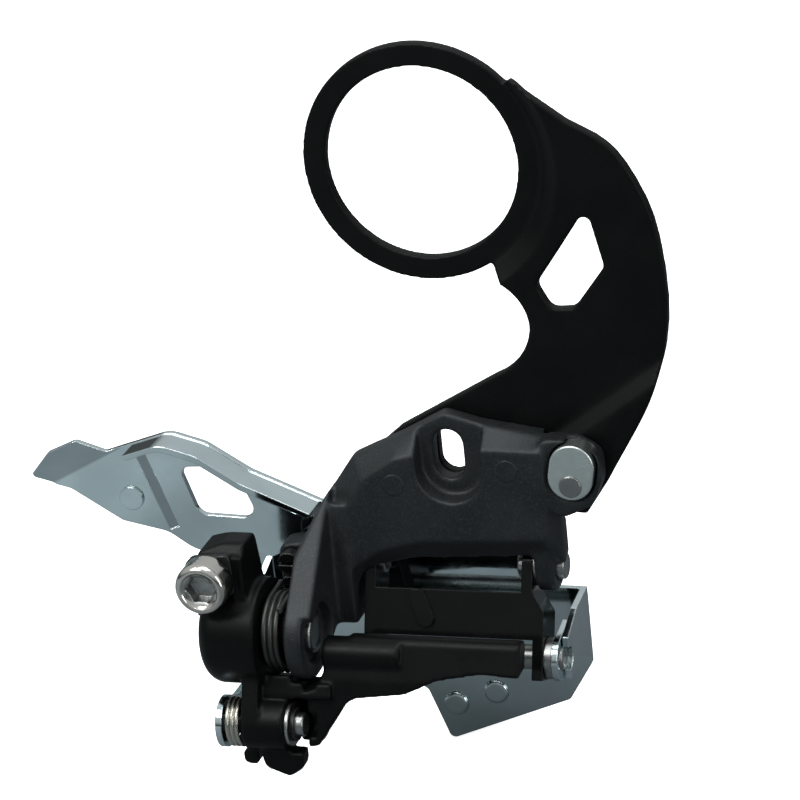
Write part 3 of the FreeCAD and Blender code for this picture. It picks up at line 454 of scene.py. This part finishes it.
# Places, radii and lengths in millimetres: two ejector marks, two ribs on the cable arm and a boss
# on the outer link behind the rear ear.
MARK_RADIUS, MARK_DEPTH = 2.0, 0.4
PANEL_MARKS = ((-7.9, -10.36, -57.8), (13.6, -10.36, -54.4))
marks = [disc_mesh(place, MARK_RADIUS, MARK_DEPTH) for place in PANEL_MARKS]
softened("main_bracket", "frame", "cast_black", 0.30 * COARSE, 26, late=marks)
softened("mount_plate", "frame", "plate_black", 0.32 * COARSE, 7)
RIB_WIDTH, RIB_LEFTS = 0.9, (-35.6, -34.0)
ribs = [box_mesh((x, -25.3, -77.0), (x + RIB_WIDTH, -23.0, -66.4)) for x in RIB_LEFTS]
BOSS_PLACE, BOSS_RADIUS, BOSS_LENGTH = (-13.2, -20.8, -86.9), 3.2, 14.8
pivot_boss = disc_mesh(BOSS_PLACE, BOSS_RADIUS, BOSS_LENGTH, "X")
softened("outer_link", "outer_link", "link_black", 0.30 * COARSE, 9, extras=[*ribs, pivot_boss])

make_inner_cage()

# The main pivot pin has a flat head at its +X end. Millimetres.
HEAD_LENGTH, SHANK_RADIUS, HEAD_RADIUS = 1.2, 3.0, 3.75
low, high, _ = corners_mm("main_pivot_pin")
head_start = high.x - HEAD_LENGTH
make_pin("main_pivot_pin", "frame", [(low.x, head_start, SHANK_RADIUS),
                                     (head_start, high.x, HEAD_RADIUS)])
for node, body in (("front_pivot_pin", "frame"), ("inner_pivot_pin", "frame"),
                   ("cage_front_pin", "cage"), ("cage_rear_pin", "cage")):
    low, high, _ = corners_mm(node)
    make_pin(node, body, [(low.x, high.x, (high.z - low.z) / 2)])
make_clamp_bolt()

# ---------------------------------------------------------------- CAD pieces shown as they are

SHOWN = {
    "zinc_steel": ("plate_nut", "cage_tail_spacer", "main_pin_clip"),
    "spring_bright": ("cage_spring",),
    "pin_steel": ("cage_pin_washer", "front_pivot_washer", "cage_front_washer", "plate_bolt"),
    "black_oxide_steel": ("low_limit_screw", "high_limit_screw", "cage_pin_clip", "cable_clamp_plate"),
    "bush_plastic": ("main_pivot_bush_rear", "main_pivot_bush_front"),
    "spring_dark": ("return_spring",),
    "inner_black": ("inner_link",),
    "cage_chrome": ("cage_outer_plate", "cage_nose_rivet_rear",
                    "cage_nose_rivet_front", "cage_tail_screw"),
}
for finish, nodes in SHOWN.items():
    for node in nodes:
        paint(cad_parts[node], finish)


# ---------------------------------------------------------------- floor, light and camera

FLOOR_REACH, FLOOR_GAP = 6.0, 0.2 * MM   # half the floor's width, and how far it lies below the part
FLOOR_SEEN = 0.85                        # emission strength of the floor to the camera


def painted_reflection_glow(n):
    """Brightness of the floor in reflections, a painted reflection on the part: it falls toward +X and
    toward +Y as painted shade near the part, with painted streaks.
    """
    split = n.tree.nodes.new("ShaderNodeSeparateXYZ")
    n.link(n.place, split.inputs[0])
    sideways = n.span(split.outputs["X"], -0.11, 0.0, 0.36, 0.06)
    outward = n.span(split.outputs["Y"], -0.12, 0.0, 1.0, 0.62)
    painted_streaks = n.span(n.noise(0.04, 1.0, (1.0, 0.35, 1.0)), 0.35, 0.65, 0.60, 1.20)
    return n.math("MULTIPLY", n.math("MULTIPLY", sideways, outward), painted_streaks)


def make_floor():
    """A plain pale floor just under the lowest point."""
    lowest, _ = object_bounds()
    mesh = bpy.data.meshes.new("floor")
    corners = [(x * FLOOR_REACH, y * FLOOR_REACH, lowest.z - FLOOR_GAP)
               for x, y in ((-1, -1), (1, -1), (1, 1), (-1, 1))]
    mesh.from_pydata(corners, [], [(0, 1, 2, 3)])
    floor = bpy.data.objects.new("floor", mesh)
    bpy.context.scene.collection.objects.link(floor)
    n = Nodes("floor_pale")
    mottle = n.span(n.noise(0.15, 3.0), 0.3, 0.7, 0.0, 1.0)
    pale = n.mix(mottle, (0.90, 0.90, 0.90), (0.93, 0.93, 0.93))
    n.shader.inputs["Roughness"].default_value = 0.9
    n.shader.inputs["Specular IOR Level"].default_value = 0.1
    # The floor is evenly pale to the camera, but stays dim in the reflections on the object: there its
    # dim colour, bluish tint and glow are a painted reflection, with painted shade near the part.
    path = n.tree.nodes.new("ShaderNodeLightPath")
    seen = path.outputs["Is Camera Ray"]
    n.link(n.mix(seen, (0.10, 0.11, 0.12), pale), n.shader.inputs["Base Color"])
    glow = painted_reflection_glow(n)
    direct = n.math("MULTIPLY", seen, FLOOR_SEEN)
    reflected = n.math("MULTIPLY", glow, n.math("SUBTRACT", 1.0, seen))
    n.link(n.math("ADD", direct, reflected), n.shader.inputs["Emission Strength"])
    n.link(n.mix(seen, (0.84, 0.97, 1.0), (1.0, 1.0, 1.0)), n.shader.inputs["Emission Color"])
    mesh.materials.append(n.material)
    floor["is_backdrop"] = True


def make_world():
    """Soft surroundings: bright above, dark below, evenly pale where the camera sees them."""
    world = bpy.data.worlds.new("studio")
    bpy.context.scene.world = world
    world.use_nodes = True
    tree = world.node_tree
    coordinate = tree.nodes.new("ShaderNodeTexCoord")
    split = tree.nodes.new("ShaderNodeSeparateXYZ")
    tree.links.new(coordinate.outputs["Generated"], split.inputs[0])
    ramp = tree.nodes.new("ShaderNodeValToRGB")
    ramp.color_ramp.elements[0].position = 0.0
    ramp.color_ramp.elements[0].color = (0.03, 0.03, 0.035, 1)
    ramp.color_ramp.elements[1].position = 1.0
    ramp.color_ramp.elements[1].color = (0.75, 0.77, 0.80, 1)
    for place, grey in ((0.10, 0.08), (0.30, 0.50)):
        middle = ramp.color_ramp.elements.new(place)
        middle.color = (grey, grey * 1.04, grey * 1.06, 1)
    tree.links.new(split.outputs["Z"], ramp.inputs["Fac"])
    path = tree.nodes.new("ShaderNodeLightPath")
    mix = tree.nodes.new("ShaderNodeMix")
    mix.data_type = "RGBA"
    mix.inputs[7].default_value = (0.95, 0.95, 0.95, 1)
    tree.links.new(path.outputs["Is Camera Ray"], mix.inputs[0])
    tree.links.new(ramp.outputs["Color"], mix.inputs[6])
    tree.links.new(mix.outputs[2], tree.nodes["Background"].inputs["Color"])
    tree.nodes["Background"].inputs["Strength"].default_value = 1.0


def soft_light(name, place, target, width, height, power):
    """A white rectangular soft box that looks at the target. Lengths in metres, power in watts."""
    data = bpy.data.lights.new(name, "AREA")
    data.shape = "RECTANGLE"
    data.size, data.size_y = width, height
    data.energy = power
    light = bpy.data.objects.new(name, data)
    light.location = place
    light.rotation_euler = (Vector(target) - Vector(place)).to_track_quat("-Z", "Y").to_euler()
    bpy.context.scene.collection.objects.link(light)


SENSOR_WIDTH, LENS = 36.0, 152.8
CAMERA_PLACE, CAMERA_AIM = (181.0, -541.7, 183.9), (-3.4, -14.5, -39.3)   # millimetres
CAMERA_RIGHT = (0.9534, 0.2857, -0.0968)   # direction that is to the right in the picture


def make_camera():
    """Seen from the ring, the camera stands 18.5 degrees toward +X from -Y and 18 degrees up."""
    data = bpy.data.cameras.new("camera")
    data.sensor_width = SENSOR_WIDTH
    data.lens = LENS
    data.clip_start, data.clip_end = 0.01, 20.0
    camera = bpy.data.objects.new("camera", data)
    place = Vector(CAMERA_PLACE) * MM
    aim = Vector(CAMERA_AIM) * MM
    right = Vector(CAMERA_RIGHT).normalized()
    back = (place - aim).normalized()
    right = (right - back * right.dot(back)).normalized()
    up = back.cross(right)
    turn = Matrix((right, up, back)).transposed()
    camera.matrix_world = Matrix.Translation(place) @ turn.to_4x4()
    bpy.context.scene.collection.objects.link(camera)
    bpy.context.scene.camera = camera


make_floor()
make_world()
CENTRE = (-0.01, -0.01, -0.05)
soft_light("key", (-0.35, -0.45, 0.55), CENTRE, 0.35, 0.35, 3.6)
soft_light("top", (0.05, -0.05, 0.70), CENTRE, 0.50, 0.40, 3.0)
soft_light("side", (0.60, -0.30, 0.10), CENTRE, 0.15, 0.50, 1.2)
make_camera()
bpy.context.scene.view_settings.view_transform = "Standard"
bpy.context.scene.view_settings.look = "None"

low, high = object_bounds()
